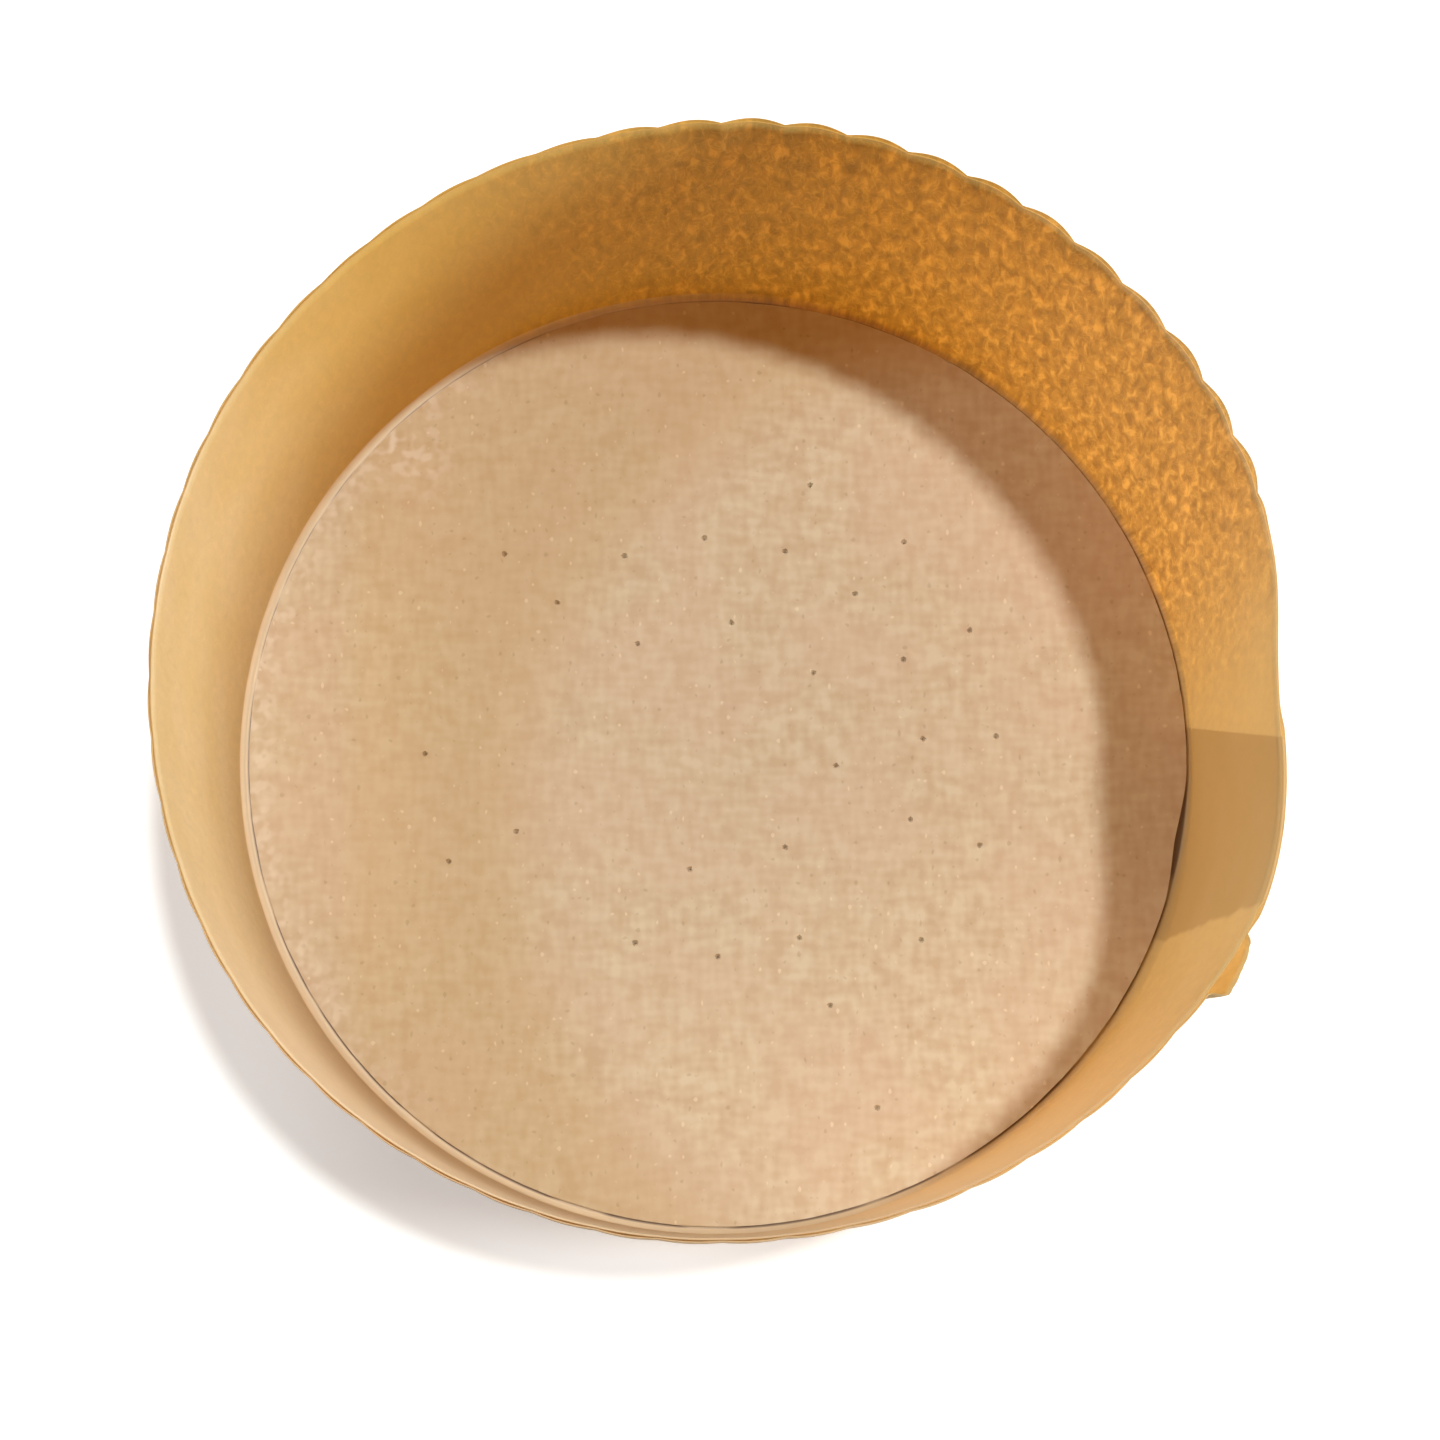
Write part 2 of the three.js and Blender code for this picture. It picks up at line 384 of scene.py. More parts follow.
def wrap_radius(angle, height, sizes):
    """Radius of the wrap's inner face, with its step over the lap, its flutes and the loose flute."""
    over_lap = rise(angle, LAP_LOW - 2 * STEP, LAP_LOW - STEP / 2)
    over_lap = over_lap * (1 - rise(angle, LAP_HIGH_FOOT + STEP / 2, LAP_HIGH_FOOT + 2 * STEP))
    round_angle = after_lap(angle)
    own_size = sizes[np.floor((round_angle - FLAT_START) / PITCH).astype(int) % FLUTES]
    arch = np.abs(np.sin(np.pi * angle / PITCH)) ** FLUTE_BLUNTNESS
    flute = flute_height(round_angle) * own_size * arch
    share = np.clip((angle - LOOSE_START) / (LOOSE_END - LOOSE_START), 0, 1)
    loose = mix(LOOSE_FOOT, LOOSE_RIM, height ** 2)
    loose = loose * rise(share, 0, LOOSE_RISE) * (1 - share) ** LOOSE_BLUNTNESS
    return OUTER_RADIUS + GLUE + SHEET * over_lap + np.maximum(flute, loose)


def make_wrap(material):
    columns = FLUTES * WRAP_COLUMNS_PER_FLUTE
    angle = FLAT_START - 2 * PITCH + np.arange(columns) * PITCH / WRAP_COLUMNS_PER_FLUTE
    sizes = rng.uniform(*FLUTE_SHARES, FLUTES)
    rim = WALL_HEIGHT + np.minimum(WRAP_RIM_LINE(angle) - WRAP_RIM_DIP, 0)
    torn = (angle > LOOSE_START) & (angle < LOOSE_END)
    rim = rim - torn * rng.uniform(0, TORN_DEPTH, columns)
    angles, radii, heights = [], [], []
    rows = np.linspace(0, 1, WRAP_ROWS)
    for side, order in ((1, rows), (0, rows[::-1])):
        for t in order:
            turned = angle + slant(angle) * t
            angles.append(turned)
            radii.append(wrap_radius(angle, t, sizes) + wall_bend(turned, t) + thinned(t) * side)
            heights.append(mix(WRAP_FOOT, rim, t))
    angles, radii, heights = (np.stack(rows_of, axis=1) for rows_of in (angles, radii, heights))
    vertices = around(angles, radii, heights)
    return object_from("fluted_wrap", vertices.reshape(-1, 3), ring_faces(*radii.shape), (material,))


# Base disc

def vent_places():
    return [polar(radius, math.radians(VENT_START + turn + spoke * 360 / spokes), VENT_CENTRE)
            for radius, spokes, turn, opened in VENT_RINGS for spoke in opened]


def disc_edge(angle):
    """Radius of the disc, which has one dent beside the lap."""
    dent = np.exp(-((angle - DENT_ANGLE) / DENT_WIDTH) ** 2)
    return DISC_RADIUS - DENT_DEPTH * dent + np.minimum(EDGE_LINE(angle) - DISC_DIP, 0)


def disc_points(vents):
    """Points of the disc's face: its edge, the vents, rings round vents and burrs, and a staggered fill."""
    edge_angle = np.linspace(-180, 180, DISC_EDGE_POINTS, endpoint=False)
    points = [polar(r, math.radians(a)) for a, r in zip(edge_angle, disc_edge(edge_angle))]
    loops = [list(range(DISC_EDGE_POINTS))]
    for vent in vents:
        first = len(points)
        wobble = rng.uniform(*VENT_WOBBLE, VENT_SIDES)
        for side in range(VENT_SIDES):
            points.append(polar(VENT_RADIUS * wobble[side], 2 * math.pi * side / VENT_SIDES, vent))
        loops.append(list(range(first, first + VENT_SIDES))[::-1])
    centres = vents + [(x * MM, y * MM) for x, y in BURRS]
    for centre in centres:
        for ring in HOLE_RINGS:
            for side in range(VENT_SIDES):
                points.append(polar(ring * MM, 2 * math.pi * (side + ring) / VENT_SIDES, centre))
    centres = np.array(centres)
    for row in range(int(2 * DISC_RADIUS / (DISC_SPACING * ROW_SHARE))):
        y = -DISC_RADIUS + (row + 0.5) * DISC_SPACING * ROW_SHARE
        offset = DISC_SPACING / 2 * (row % 2)
        xs = np.arange(-DISC_RADIUS + offset, DISC_RADIUS, DISC_SPACING)
        angle = np.degrees(np.arctan2(y, xs))
        inside = np.hypot(xs, y) < disc_edge(angle) - CLEAR_OF_EDGE
        for x in xs[inside]:
            if np.min(np.hypot(centres[:, 0] - x, centres[:, 1] - y)) > CLEAR_OF_HOLES:
                points.append((x, y))
    return points, loops


def disc_lift(x, y):
    """Small heights of the board's face: gentle waves, edge creases and burrs."""
    angle = np.degrees(np.arctan2(y, x))
    radius = np.hypot(x, y)
    bent = x * WAVES_ALONG_X + 2 * np.sin(y * WAVES_BEND)
    lift = BOARD_WAVE * np.sin(bent) * np.sin(y * WAVES_ALONG_Y + 1.3)
    for crease_and_gap_shade, length in EDGE_CREASES:
        across = np.radians(turn_between(angle, crease_and_gap_shade)) * radius
        reach = rise(radius, DISC_RADIUS - length * MM, DISC_RADIUS - CREASE_END * length * MM)
        lift = lift - CREASE_DEPTH * np.exp(-(across / CREASE_WIDTH) ** 2) * reach
    for burr_x, burr_y in BURRS:
        away = np.hypot(x - burr_x * MM, y - burr_y * MM)
        lift = lift + BURR_HEIGHT * np.exp(-(away / BURR_WIDTH) ** 2)
    return np.minimum(lift, MOST_LIFT)


def on_board(middle, vents):
    """Whether a face with this middle is part of the disc, and lies neither in a vent nor past the edge."""
    if np.min(np.hypot(*(vents - middle).T)) < VENT_RADIUS * IN_VENT:
        return False
    angle = math.degrees(math.atan2(middle[1], middle[0]))
    return math.hypot(*middle) <= disc_edge(np.array([angle]))[0] + EDGE_SLACK


def make_disc(material):
    """The board disc: a top face with creases and burrs, a flat bottom, and vents that narrow downwards."""
    vents = vent_places()
    points, loops = disc_points(vents)
    edges = [(loop[i], loop[(i + 1) % len(loop)]) for loop in loops for i in range(len(loop))]
    flat, _, faces, *_ = delaunay_2d_cdt(points, edges, [], 0, SAME_PLACE)
    flat = np.array([tuple(p) for p in flat])
    vents = np.array(vents)
    kept = [tuple(face) for face in faces if on_board(flat[list(face)].mean(axis=0), vents)]
    used = sorted({corner for face in kept for corner in face})
    place = {old: new for new, old in enumerate(used)}
    kept = [tuple(place[corner] for corner in face) for face in kept]
    flat = flat[used]
    count = len(flat)
    top = np.column_stack((flat, DISC_TOP + disc_lift(flat[:, 0], flat[:, 1])))
    below = flat.copy()
    for vent in vents:
        near = np.hypot(*(flat - vent).T) < NEAR_VENT * VENT_RADIUS
        below[near] = mix(vent, flat[near], VENT_TAPER)
    bottom = np.column_stack((below, np.full(count, DISC_BOTTOM)))
    directed = dict.fromkeys((face[k], face[(k + 1) % 3]) for face in kept for k in range(3))
    sides = [(b, a, a + count, b + count) for a, b in directed if (b, a) not in directed]
    faces = kept + [tuple(corner + count for corner in reversed(face)) for face in kept] + sides
    return object_from("board_disc", np.vstack((top, bottom)), faces, (material,), smooth=False)


# Materials. A scale of noise is in cells per metre, and a ramp is given by its start and its end

class Nodes:
    """A short way to write a node tree: a node is made from its type, its settings and its inputs."""

    def __init__(self, tree):
        self.tree = tree
        tree.nodes.clear()

    def fill(self, node, inputs):
        for key, value in inputs:
            if isinstance(value, bpy.types.NodeSocket):
                self.tree.links.new(value, node.inputs[key])
            else:
                node.inputs[key].default_value = value

    def add(self, kind, inputs=(), **settings):
        node = self.tree.nodes.new(kind)
        for key, value in settings.items():
            setattr(node, key, value)
        self.fill(node, dict(inputs).items())
        return node

    def math(self, operation, *values, clamp=False):
        return self.add("ShaderNodeMath", enumerate(values), operation=operation, use_clamp=clamp).outputs[0]

    def plus(self, a, b):
        return self.math("ADD", a, b)

    def minus(self, a, b):
        return self.math("SUBTRACT", a, b)

    def times(self, a, b):
        return self.math("MULTIPLY", a, b)

    def weighted(self, *pairs):
        """Sum of values, each times its weight."""
        total, *others = [self.times(value, weight) for value, weight in pairs]
        for other in others:
            total = self.plus(total, other)
        return total

    def length(self, x, y):
        return self.math("SQRT", self.plus(self.times(x, x), self.times(y, y)))

    def distance(self, place, point):
        inputs = {0: place, 1: point}
        return self.add("ShaderNodeVectorMath", inputs, operation="DISTANCE").outputs["Value"]

    def parts(self, vector):
        return self.add("ShaderNodeSeparateXYZ", {"Vector": vector}).outputs

    def stretch(self, value, low, high, to_low=0.0, to_high=1.0):
        inputs = {"Value": value, "From Min": low, "From Max": high, "To Min": to_low, "To Max": to_high}
        return self.add("ShaderNodeMapRange", inputs, interpolation_type="SMOOTHSTEP").outputs["Result"]

    def span(self, value, rising, falling):
        """1 between a rising and a falling ramp."""
        return self.times(self.stretch(value, *rising), self.stretch(value, *falling, 1, 0))

    def noise(self, vector, scale, detail=0.0, roughness=0.5, distortion=0.0):
        inputs = {
            "Vector": vector,
            "Scale": scale,
            "Detail": detail,
            "Roughness": roughness,
            "Distortion": distortion,
        }
        return self.add("ShaderNodeTexNoise", inputs, noise_dimensions="2D").outputs[0]

    def mapped(self, vector, scale, turn=0.0, shift=(0, 0, 0)):
        inputs = {"Vector": vector, "Scale": scale, "Rotation": (0, 0, math.radians(turn)), "Location": shift}
        return self.add("ShaderNodeMapping", inputs).outputs[0]

    def blend(self, factor, a, b, mode="MIX"):
        node = self.add("ShaderNodeMix", (), data_type="RGBA", blend_type=mode)
        self.fill(node, ((0, factor), (6, a), (7, b)))
        return node.outputs[2]

    def tint(self, base, mask, strength, shade, mode="MIX"):
        return self.blend(self.times(mask, strength), base, shade, mode)

    def ramp(self, factor, stops):
        node = self.add("ShaderNodeValToRGB", {"Fac": factor})
        elements = node.color_ramp.elements
        while len(elements) < len(stops):
            elements.new(0.5)
        for element, (position, shade) in zip(elements, stops):
            element.position = position
            element.color = shade
        return node.outputs["Color"]


def colour(code):
    """A linear colour from a hex code as seen on screen."""
    parts = [int(code[i:i + 2], 16) / 255 for i in (0, 2, 4)]
    return tuple(c / 12.92 if c <= 0.04045 else ((c + 0.055) / 1.055) ** 2.4 for c in parts) + (1.0,)


def new_material(name):
    material = bpy.data.materials.new(name)
    material.use_nodes = True
    return material, Nodes(material.node_tree)


# Fibres of the kraft, drawn out upwards
CLOUD_SCALE = (980, 430, 1)
BROAD_SCALE = 150
STRAND_SCALE = (980, 500, 1)
STRAND_SHIFT = (7, 3, 0)
STRAND_WIDTH = 0.06
FIBRE_SCALE = (1300, 420, 1)
FIBRE_TURN = 24
BUMP_DEPTH = 0.08 * MM

# Unevenness of the lap's low edge, and the softness of both edges, which are in degrees but for the scale
LAP_UNEVEN_SCALE = 260
LAP_UNEVEN = 0.9
LAP_HIGH_SOFT = 0.12
LAP_LOW_SOFT = 0.35

# Parts of the wall where the paper looks different, where a sheen is painted on the lower wall, and where a
# highlight is painted on the lit side of the fold, as turns in degrees
LOOSE_PULP = ((-4, 24), (88, 128))
PALE_PULP = ((-50, -20), (0, 26))
WARM_PAPER = ((25, 75), (125, 165))
# A sheen is painted round this turn: the lower wall is paler there, as light falls on it
SHEEN_MIDDLE = -100
SHEEN_REACH = (25, 75)
# A highlight is painted on the fold past these turns from +X, on its lit side
LIT_FOLD_TURNS = (65, 115)

# How strongly those parts, the lap and the cut rim show
QUIET_MOTTLE = 0.25
PALE_SHARE = 0.4
SHEEN_SHARE = 0.6
LAP_CALM = 0.6
LAP_TINT = 0.5
RIM_TINT = 0.4

# The top of the fold, the cut rim below the wall's height, and the painted shade in the gap outside the
# disc's radius, which is broken in places
FOLD_TOP = (0.9 * MM, 1.5 * MM)
RIM_EDGE = (0.5 * MM, 0.1 * MM)
GAP_SHADE_OUT = (0.1 * MM, 0.34 * MM)
GAP_SHADE_BREAKS = (0.3, 0.5)
GAP_SHADE_SHARES = (0.35, 0.9)

# Looks of the kraft: "through" names colours of light that comes through, and "face" of light sent back.
# "share" is how much of it comes through, with a second share on the fold where a pale highlight is painted,
# whose colour is "fold", and "lamp" is the colour that a lamp has behind the sheet. Painted too are a paler
# sheen on the lower wall and shade in the gap beside the disc
KRAFT = {
    "through": (
        (0.34, colour("8B6016")),
        (0.46, colour("A3792A")),
        (0.56, colour("B58D39")),
        (0.67, colour("D4AE5A")),
    ),
    "fleck_through": colour("DAB868"),
    "pale_through": colour("AFB3A2"),
    # painted sheen: paler light through the lower wall
    "sheen_through": colour("E6CFA0"),
    "lap": 1.0,
    "lap_through": colour("DCD2C8"),
    "face": ((0.3, colour("EFD596")), (0.7, colour("F4DDA8"))),
    # painted sheen: a paler face on the lower wall
    "sheen_face": colour("FBEFD8"),
    "lap_face": colour("ECE4DA"),
    "warm": (1.0, 0.9, 0.5, 1),
    # painted highlight on the lit side of the fold
    "fold": colour("F8E4C0"),
    # painted shade in the gap beside the disc
    "crease_and_gap_shade": colour("6E4F2C"),
    "edge": colour("DBAA62"),
    "bump": 0.1,
    "roughness": 0.45,
    "gloss": 0.6,
    "share": 0.5,
    "fold_highlight_share": 0.2,
    "lamp": (0.1, 0.047, 0.022, 1),
}
KRAFT_BACK = dict(KRAFT, gloss=0.1, lamp=(0.965, 0.91, 0.79, 1))
KRAFT_WRAP = dict(KRAFT_BACK, roughness=0.6, bump=0.2, lap=0.0, lap_face=colour("FFFFFF"))


def sheet_place(nodes):
    """Place on the unrolled strip in metres, the turn in degrees from -180 to 180, height and radius."""
    place = nodes.add("ShaderNodeTexCoord").outputs["Object"]
    seam_turn = 180 + (LAP_LOW + LAP_HIGH_RIM) / 2
    inputs = {"Vector": place, "Angle": -math.radians(seam_turn)}
    turned = nodes.add("ShaderNodeVectorRotate", inputs, rotation_type="Z_AXIS").outputs[0]
    x, y, z = nodes.parts(turned)
    turn = nodes.math("ARCTAN2", y, x)
    radius = nodes.length(x, y)
    along = nodes.times(turn, INNER_RADIUS)
    up = nodes.plus(z, nodes.minus(INNER_RADIUS, radius))
    sheet = nodes.add("ShaderNodeCombineXYZ", {"X": along, "Y": up}).outputs[0]
    degrees = nodes.plus(nodes.times(turn, 180 / math.pi), seam_turn)
    over = nodes.times(nodes.math("GREATER_THAN", degrees, 180), 360)
    return sheet, nodes.minus(degrees, over), z, radius


def paper_fibres(nodes, sheet):
    """Cloudiness of the pulp, its broad patches, its thin curly strands, and short fibres."""
    cloud = nodes.noise(nodes.mapped(sheet, CLOUD_SCALE), 1.0, 3.0, 0.68, 0.5)
    broad = nodes.noise(sheet, BROAD_SCALE)
    line = nodes.noise(nodes.mapped(sheet, STRAND_SCALE, 0, STRAND_SHIFT), 1.0, distortion=0.9)
    strand = nodes.stretch(nodes.math("ABSOLUTE", nodes.minus(line, 0.5)), 0.0, STRAND_WIDTH, 1, 0)
    fibre = nodes.noise(nodes.mapped(sheet, FIBRE_SCALE, FIBRE_TURN), 1.0)
    return cloud, broad, strand, fibre


def lap_mask(nodes, sheet, turned, z):
    """1 on the wall's second layer. Its low edge is a little uneven."""
    height = nodes.math("DIVIDE", z, WALL_HEIGHT)
    high = nodes.plus(nodes.times(height, LAP_HIGH_RIM - LAP_HIGH_FOOT), LAP_HIGH_FOOT)
    below_high = nodes.stretch(nodes.minus(turned, high), -LAP_HIGH_SOFT, LAP_HIGH_SOFT, 1, 0)
    uneven = nodes.times(nodes.minus(nodes.noise(sheet, LAP_UNEVEN_SCALE), 0.5), LAP_UNEVEN)
    past_low = nodes.plus(nodes.minus(turned, LAP_LOW), uneven)
    return nodes.times(below_high, nodes.stretch(past_low, -LAP_LOW_SOFT, LAP_LOW_SOFT))


def kraft_colours(nodes, look, fibres, lap, turned):
    """Colour of the light that comes through the wall, and colour of its face, above the fold, with a painted
    sheen that makes the lower wall paler.
    """
    cloud, broad, strand, fibre = fibres
    loose = nodes.span(turned, *LOOSE_PULP)
    lively = nodes.plus(nodes.times(loose, 1 - QUIET_MOTTLE), QUIET_MOTTLE)
    lively = nodes.times(lively, nodes.minus(1, nodes.times(lap, LAP_CALM)))
    mottle = nodes.weighted((cloud, 0.75), (fibre, 0.25))
    mottle = nodes.plus(nodes.times(nodes.minus(mottle, 0.5), lively), 0.5)
    warm = nodes.span(turned, *WARM_PAPER)
    # Painted sheen: the wall is paler round the lower turn
    from_sheen_middle = nodes.math("ABSOLUTE", nodes.minus(turned, SHEEN_MIDDLE))
    painted_sheen = nodes.stretch(from_sheen_middle, *SHEEN_REACH, SHEEN_SHARE, 0)

    through = nodes.ramp(mottle, look["through"])
    fleck = nodes.times(nodes.times(strand, cloud), lively)
    through = nodes.blend(fleck, through, look["fleck_through"])
    through = nodes.tint(through, nodes.span(turned, *PALE_PULP), PALE_SHARE, look["pale_through"])
    through = nodes.blend(warm, through, look["warm"], "MULTIPLY")
    through = nodes.blend(painted_sheen, through, look["sheen_through"])
    through = nodes.tint(through, lap, look["lap"], look["lap_through"], "MULTIPLY")

    face = nodes.ramp(nodes.weighted((mottle, 0.6), (broad, 0.4)), look["face"])
    face = nodes.tint(face, lap, LAP_TINT, look["lap_face"], "MULTIPLY")
    face = nodes.blend(warm, face, look["warm"], "MULTIPLY")
    face = nodes.blend(painted_sheen, face, look["sheen_face"])
    return through, face


def kraft_material(name, look):
    """Greaseproof kraft: it sends back a plain tan and lets a mottled amber light through."""
    material, nodes = new_material(name)
    sheet, turned, z, radius = sheet_place(nodes)
    fibres = paper_fibres(nodes, sheet)
    _, broad, _, fibre = fibres
    lap = lap_mask(nodes, sheet, turned, z)
    through, face = kraft_colours(nodes, look, fibres, lap, turned)

    # Painted highlight: the fold is pale on its lit side, and there it lets less light through
    fold = nodes.stretch(z, *FOLD_TOP, 1, 0)
    fold_highlight = nodes.times(fold, nodes.stretch(nodes.math("ABSOLUTE", turned), *LIT_FOLD_TURNS))
    face = nodes.blend(fold_highlight, face, look["fold"])
    edge = nodes.stretch(z, WALL_HEIGHT - RIM_EDGE[0], WALL_HEIGHT - RIM_EDGE[1], 0, RIM_TINT)
    # Painted shade: a dark line on the fold's foot, in the gap just outside the disc
    crease_and_gap_shade = nodes.stretch(radius, DISC_RADIUS + GAP_SHADE_OUT[0], DISC_RADIUS + GAP_SHADE_OUT[1], 1, 0)
    breaks = nodes.stretch(broad, *GAP_SHADE_BREAKS, *GAP_SHADE_SHARES)
    crease_and_gap_shade = nodes.times(nodes.times(crease_and_gap_shade, fold), breaks)
    for mask, shade in ((edge, look["edge"]), (crease_and_gap_shade, look["crease_and_gap_shade"])):
        face = nodes.blend(mask, face, shade)
        through = nodes.blend(mask, through, shade)

    inputs = {"Height": fibre, "Strength": look["bump"], "Distance": BUMP_DEPTH}
    bump = nodes.add("ShaderNodeBump", inputs).outputs[0]
    front = nodes.add("ShaderNodeBsdfPrincipled", {
        "Base Color": face,
        "Roughness": look["roughness"],
        "Specular IOR Level": look["gloss"],
        "Normal": bump,
    })
    behind = nodes.add("ShaderNodeBsdfTranslucent", {"Color": through, "Normal": bump})
    share = nodes.stretch(fold_highlight, 0, 1, look["share"], look["fold_highlight_share"])
    paper = nodes.add("ShaderNodeMixShader", {0: share, 1: front.outputs[0], 2: behind.outputs[0]})
    lamp = nodes.add("ShaderNodeLightPath").outputs["Is Shadow Ray"]
    clear = nodes.add("ShaderNodeBsdfTransparent", {"Color": look["lamp"]})
    whole = nodes.add("ShaderNodeMixShader", {0: lamp, 1: paper.outputs[0], 2: clear.outputs[0]})
    nodes.add("ShaderNodeOutputMaterial", {"Surface": whole.outputs[0]})
    return material


# The board's fibres, which lie both ways across it, and its patches and specks
UPRIGHT_SCALE = (1250, 420, 1)
LEVEL_SCALE = (420, 1250, 1)
LEVEL_SHIFT = (5, 1, 0)
BOARD_CLOUD_SCALE = 430
PATCH_SCALE = 70
PATCH_RANGE = (0.36, 0.64)
SPECK_SCALE = 1500
SPECK_STRETCH = (1, 0.8, 1)
SPECK_SHIFT = (0.3, 0.1, 0)
DARK_SPECKS = (0.1, 0.2)
PALE_SPECKS = (0.82, 0.92)

# Painted shade: the board is yellower far from this place, where the wall shades it from the side lamp, but
# only a little at its left edge
SIDE_SHADE_CENTRE = (30 * MM, -8 * MM, DISC_TOP)
SIDE_SHADE_START = 46 * MM
SIDE_SHADE_END = 55 * MM
SIDE_SHADE_FADE = (-36 * MM, -41 * MM)

# Scuffs: a band at the edge, between two turns from -X, and one spot inside it
SCUFF_BAND = 4.5 * MM
SCUFF_TURNS = ((-62, -30), (45, 70))
SCUFF_SPOT = (-32 * MM, 31.5 * MM, DISC_TOP)
SCUFF_SPOT_REACH = 6.5 * MM
SCUFF_SCALE = 640
SCUFF_RANGE = (0.42, 0.72)

# Looks of the board: each tint has its strength and its colour
BOARD_TONE = ((0.34, colour("C1AA8C")), (0.5, colour("C8B598")), (0.66, colour("CFC0A4")))
BOARD_PATCH = (0.3, colour("CCB098"))
# painted shade where the wall shades the board from the side lamp
BOARD_SIDE_SHADE = (0.3, colour("CBAE78"))
BOARD_DARK = (0.25, colour("8F7350"))
BOARD_PALE = (0.4, colour("EADCC0"))
BOARD_SCUFF = (0.45, colour("E6DAC6"))


def board_material():
    """Unbleached board: tan with short fibres both ways, light and dark specks, scuffs near its edge, and
    painted shade where the wall shades it from the side lamp.
    """
    material, nodes = new_material("base_board")
    place = nodes.add("ShaderNodeTexCoord").outputs["Object"]
    x, y, _ = nodes.parts(place)
    upright = nodes.noise(nodes.mapped(place, UPRIGHT_SCALE), 1.0)
    level = nodes.noise(nodes.mapped(place, LEVEL_SCALE, 0, LEVEL_SHIFT), 1.0)
    cloud = nodes.noise(place, BOARD_CLOUD_SCALE, 2.0, 0.6)
    base = nodes.ramp(nodes.weighted((upright, 0.25), (level, 0.25), (cloud, 0.5)), BOARD_TONE)
    patch = nodes.stretch(nodes.noise(place, PATCH_SCALE, 1.0), *PATCH_RANGE)
    base = nodes.tint(base, patch, *BOARD_PATCH)
    # Painted shade: yellower where the wall shades the board from the side lamp
    far = nodes.stretch(nodes.distance(place, SIDE_SHADE_CENTRE), SIDE_SHADE_START, SIDE_SHADE_END)
    side_shade = nodes.times(far, nodes.stretch(x, *SIDE_SHADE_FADE, 1, 0.2))
    base = nodes.tint(base, side_shade, *BOARD_SIDE_SHADE)
    speck = nodes.noise(nodes.mapped(place, SPECK_STRETCH, 0, SPECK_SHIFT), SPECK_SCALE)
    base = nodes.tint(base, nodes.stretch(speck, *DARK_SPECKS, 1, 0), *BOARD_DARK)
    base = nodes.tint(base, nodes.stretch(speck, *PALE_SPECKS), *BOARD_PALE)
    band = nodes.stretch(nodes.length(x, y), DISC_RADIUS - SCUFF_BAND, DISC_RADIUS)
    from_left = nodes.times(nodes.math("ARCTAN2", y, nodes.times(x, -1)), 180 / math.pi)
    spot = nodes.stretch(nodes.distance(place, SCUFF_SPOT), 0, SCUFF_SPOT_REACH, 1, 0)
    rubbed = nodes.plus(nodes.times(band, nodes.span(from_left, *SCUFF_TURNS)), spot)
    torn = nodes.stretch(nodes.noise(place, SCUFF_SCALE, 1.0, 0.6), *SCUFF_RANGE)
    base = nodes.tint(base, nodes.times(rubbed, torn), *BOARD_SCUFF)
    bump = nodes.add("ShaderNodeBump", {"Height": level, "Strength": 0.15, "Distance": 0.1 * MM}).outputs[0]
    board = nodes.add("ShaderNodeBsdfPrincipled", {
        "Base Color": base,
        "Roughness": 0.85,
        "Specular IOR Level": 0.2,
        "Normal": bump,
    })
    nodes.add("ShaderNodeOutputMaterial", {"Surface": board.outputs[0]})
    return material


# Stage and light. The floor glows a little outside the mould for the camera alone, so that it shows white
FLOOR_REACH = 1.5
FLOOR_DROP = 0.05 * MM
FLOOR_GREY = 0.86
FLOOR_GLOW = 0.3
FILL_STRENGTH = 0.04
FILL_COLOUR = (0.95, 0.97, 1.0, 1)

# Suns: name, azimuth, elevation, strength and width, with the angles in degrees
SUNS = (
    ("key", 32.8, 74.5, 2.14, 4.0),
    ("side", 166.0, 52.0, 0.62, 14.0),
    ("window", 0.0, 17.0, 3.75, 20.0),
    ("back", 108.0, 20.0, 1.25, 30.0),
)


def make_stage():
    mesh = bpy.data.meshes.new("floor")
    corners = [(x * FLOOR_REACH, y * FLOOR_REACH, 0) for x, y in ((-1, -1), (1, -1), (1, 1), (-1, 1))]
    mesh.from_pydata(corners, [], [(0, 1, 2, 3)])
    floor = bpy.data.objects.new("floor", mesh)
    floor.location.z = -FLOOR_DROP
    bpy.context.scene.collection.objects.link(floor)
    material, nodes = new_material("pale_floor")
    matt = nodes.add("ShaderNodeBsdfDiffuse", {"Color": (FLOOR_GREY, FLOOR_GREY, FLOOR_GREY, 1)})
    place = nodes.add("ShaderNodeTexCoord").outputs["Object"]
    reach = nodes.add("ShaderNodeVectorMath", {0: place}, operation="LENGTH").outputs["Value"]
    outside = nodes.stretch(reach, INNER_RADIUS - MM, INNER_RADIUS + MM, 0, FLOOR_GLOW)
    glow = nodes.add("ShaderNodeEmission", {"Color": (1, 1, 1, 1), "Strength": outside})
    both = nodes.add("ShaderNodeAddShader", {0: matt.outputs[0], 1: glow.outputs[0]})
    seen = nodes.add("ShaderNodeLightPath").outputs["Is Camera Ray"]
    mixed = nodes.add("ShaderNodeMixShader", {0: seen, 1: matt.outputs[0], 2: both.outputs[0]})
    nodes.add("ShaderNodeOutputMaterial", {"Surface": mixed.outputs[0]})
    mesh.materials.append(material)


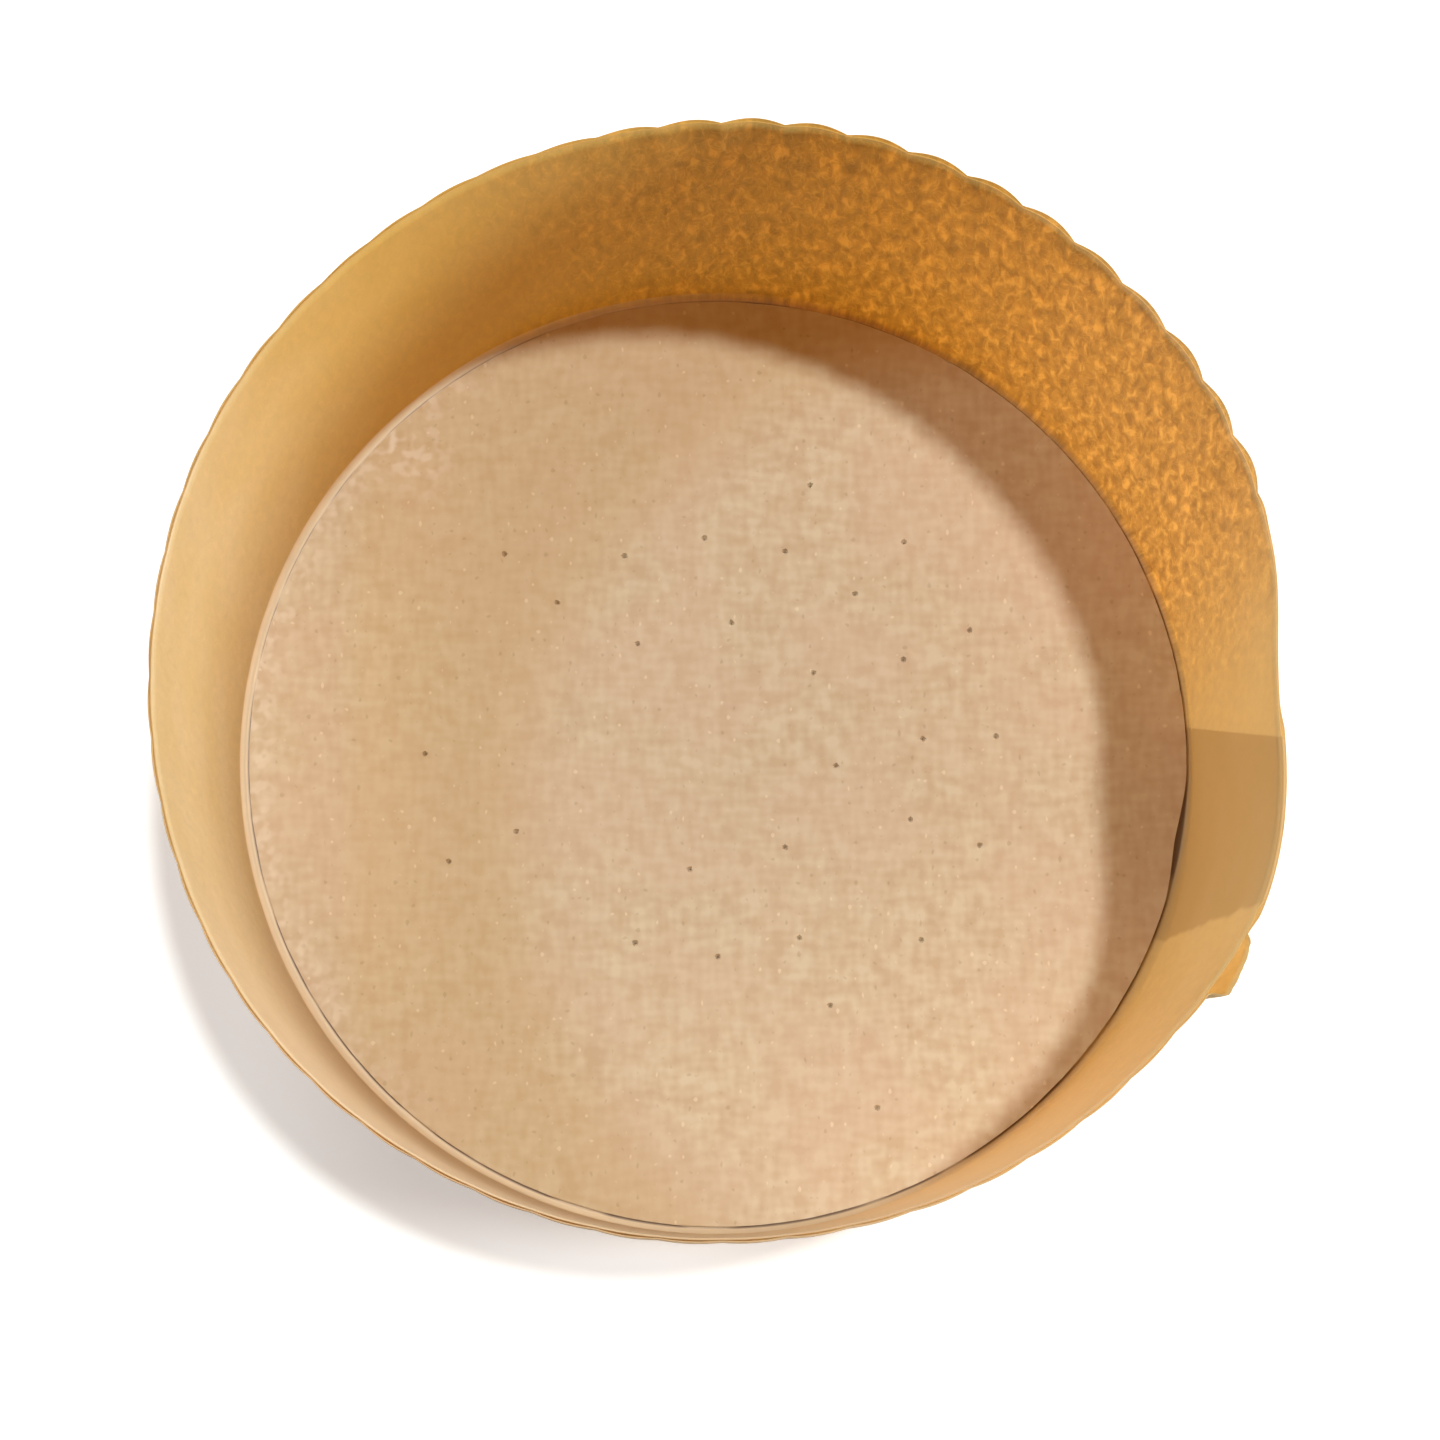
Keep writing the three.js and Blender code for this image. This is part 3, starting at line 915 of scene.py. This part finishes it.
def make_world():
    """White where the camera sees the world itself or in a mirror, and a faint fill for all other light."""
    world = bpy.data.worlds.new("studio")
    bpy.context.scene.world = world
    world.use_nodes = True
    nodes = Nodes(world.node_tree)
    seen = nodes.add("ShaderNodeLightPath")
    mirrored = nodes.math("MAXIMUM", seen.outputs["Is Glossy Ray"], seen.outputs["Is Transmission Ray"])
    direct = nodes.math("MAXIMUM", seen.outputs["Is Camera Ray"], mirrored)
    direct = nodes.math("SUBTRACT", direct, seen.outputs["Is Diffuse Ray"], clamp=True)
    white = nodes.add("ShaderNodeBackground", {"Color": (1, 1, 1, 1), "Strength": 1.0})
    fill = nodes.add("ShaderNodeBackground", {"Color": FILL_COLOUR, "Strength": FILL_STRENGTH})
    mixed = nodes.add("ShaderNodeMixShader", {0: direct, 1: fill.outputs[0], 2: white.outputs[0]})
    nodes.add("ShaderNodeOutputWorld", {"Surface": mixed.outputs[0]})


def sun(name, azimuth, elevation, strength, angle):
    lamp = bpy.data.lights.new(name, "SUN")
    lamp.energy = strength
    lamp.angle = math.radians(angle)
    holder = bpy.data.objects.new(name, lamp)
    holder.rotation_euler = (0, math.radians(90 - elevation), math.radians(azimuth))
    bpy.context.scene.collection.objects.link(holder)


# Camera: the photograph's frame is 1440 pixels wide, and its focal length is 2300 of those pixels
PHOTO_WIDTH = 1440
FOCAL_PIXELS = 2300
AXIS_BELOW_CENTRE = 140
SENSOR_WIDTH = 36
CAMERA_PLACE = (-1.8 * MM, -41.2 * MM, 238.9 * MM)
CAMERA_TURNS = (7.14, -0.47, 0)
NEAREST = 0.01


def make_camera():
    lens = bpy.data.cameras.new("camera")
    lens.sensor_width = SENSOR_WIDTH
    lens.lens = lens.sensor_width * FOCAL_PIXELS / PHOTO_WIDTH
    lens.shift_y = AXIS_BELOW_CENTRE / PHOTO_WIDTH
    lens.clip_start = NEAREST
    camera = bpy.data.objects.new("camera", lens)
    camera.location = CAMERA_PLACE
    camera.rotation_euler = [math.radians(turn) for turn in CAMERA_TURNS]
    bpy.context.scene.collection.objects.link(camera)
    bpy.context.scene.camera = camera


def main():
    make_camera()
    make_stage()
    make_world()
    for settings in SUNS:
        sun(*settings)
    inside = kraft_material("greaseproof_kraft", KRAFT)
    outside = kraft_material("greaseproof_back", KRAFT_BACK)
    pieces = (
        (make_wall(inside, outside), "wall_liner", "greaseproof_kraft"),
        (make_wrap(kraft_material("fluted_kraft", KRAFT_WRAP)), "fluted_outer_wall", "fluted_kraft"),
        (make_disc(board_material()), "base_disc", "base_board"),
    )
    for piece, node, slot in pieces:
        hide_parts(node)
        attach(piece, "root")
    bpy.context.scene.view_settings.view_transform = "Standard"


main()
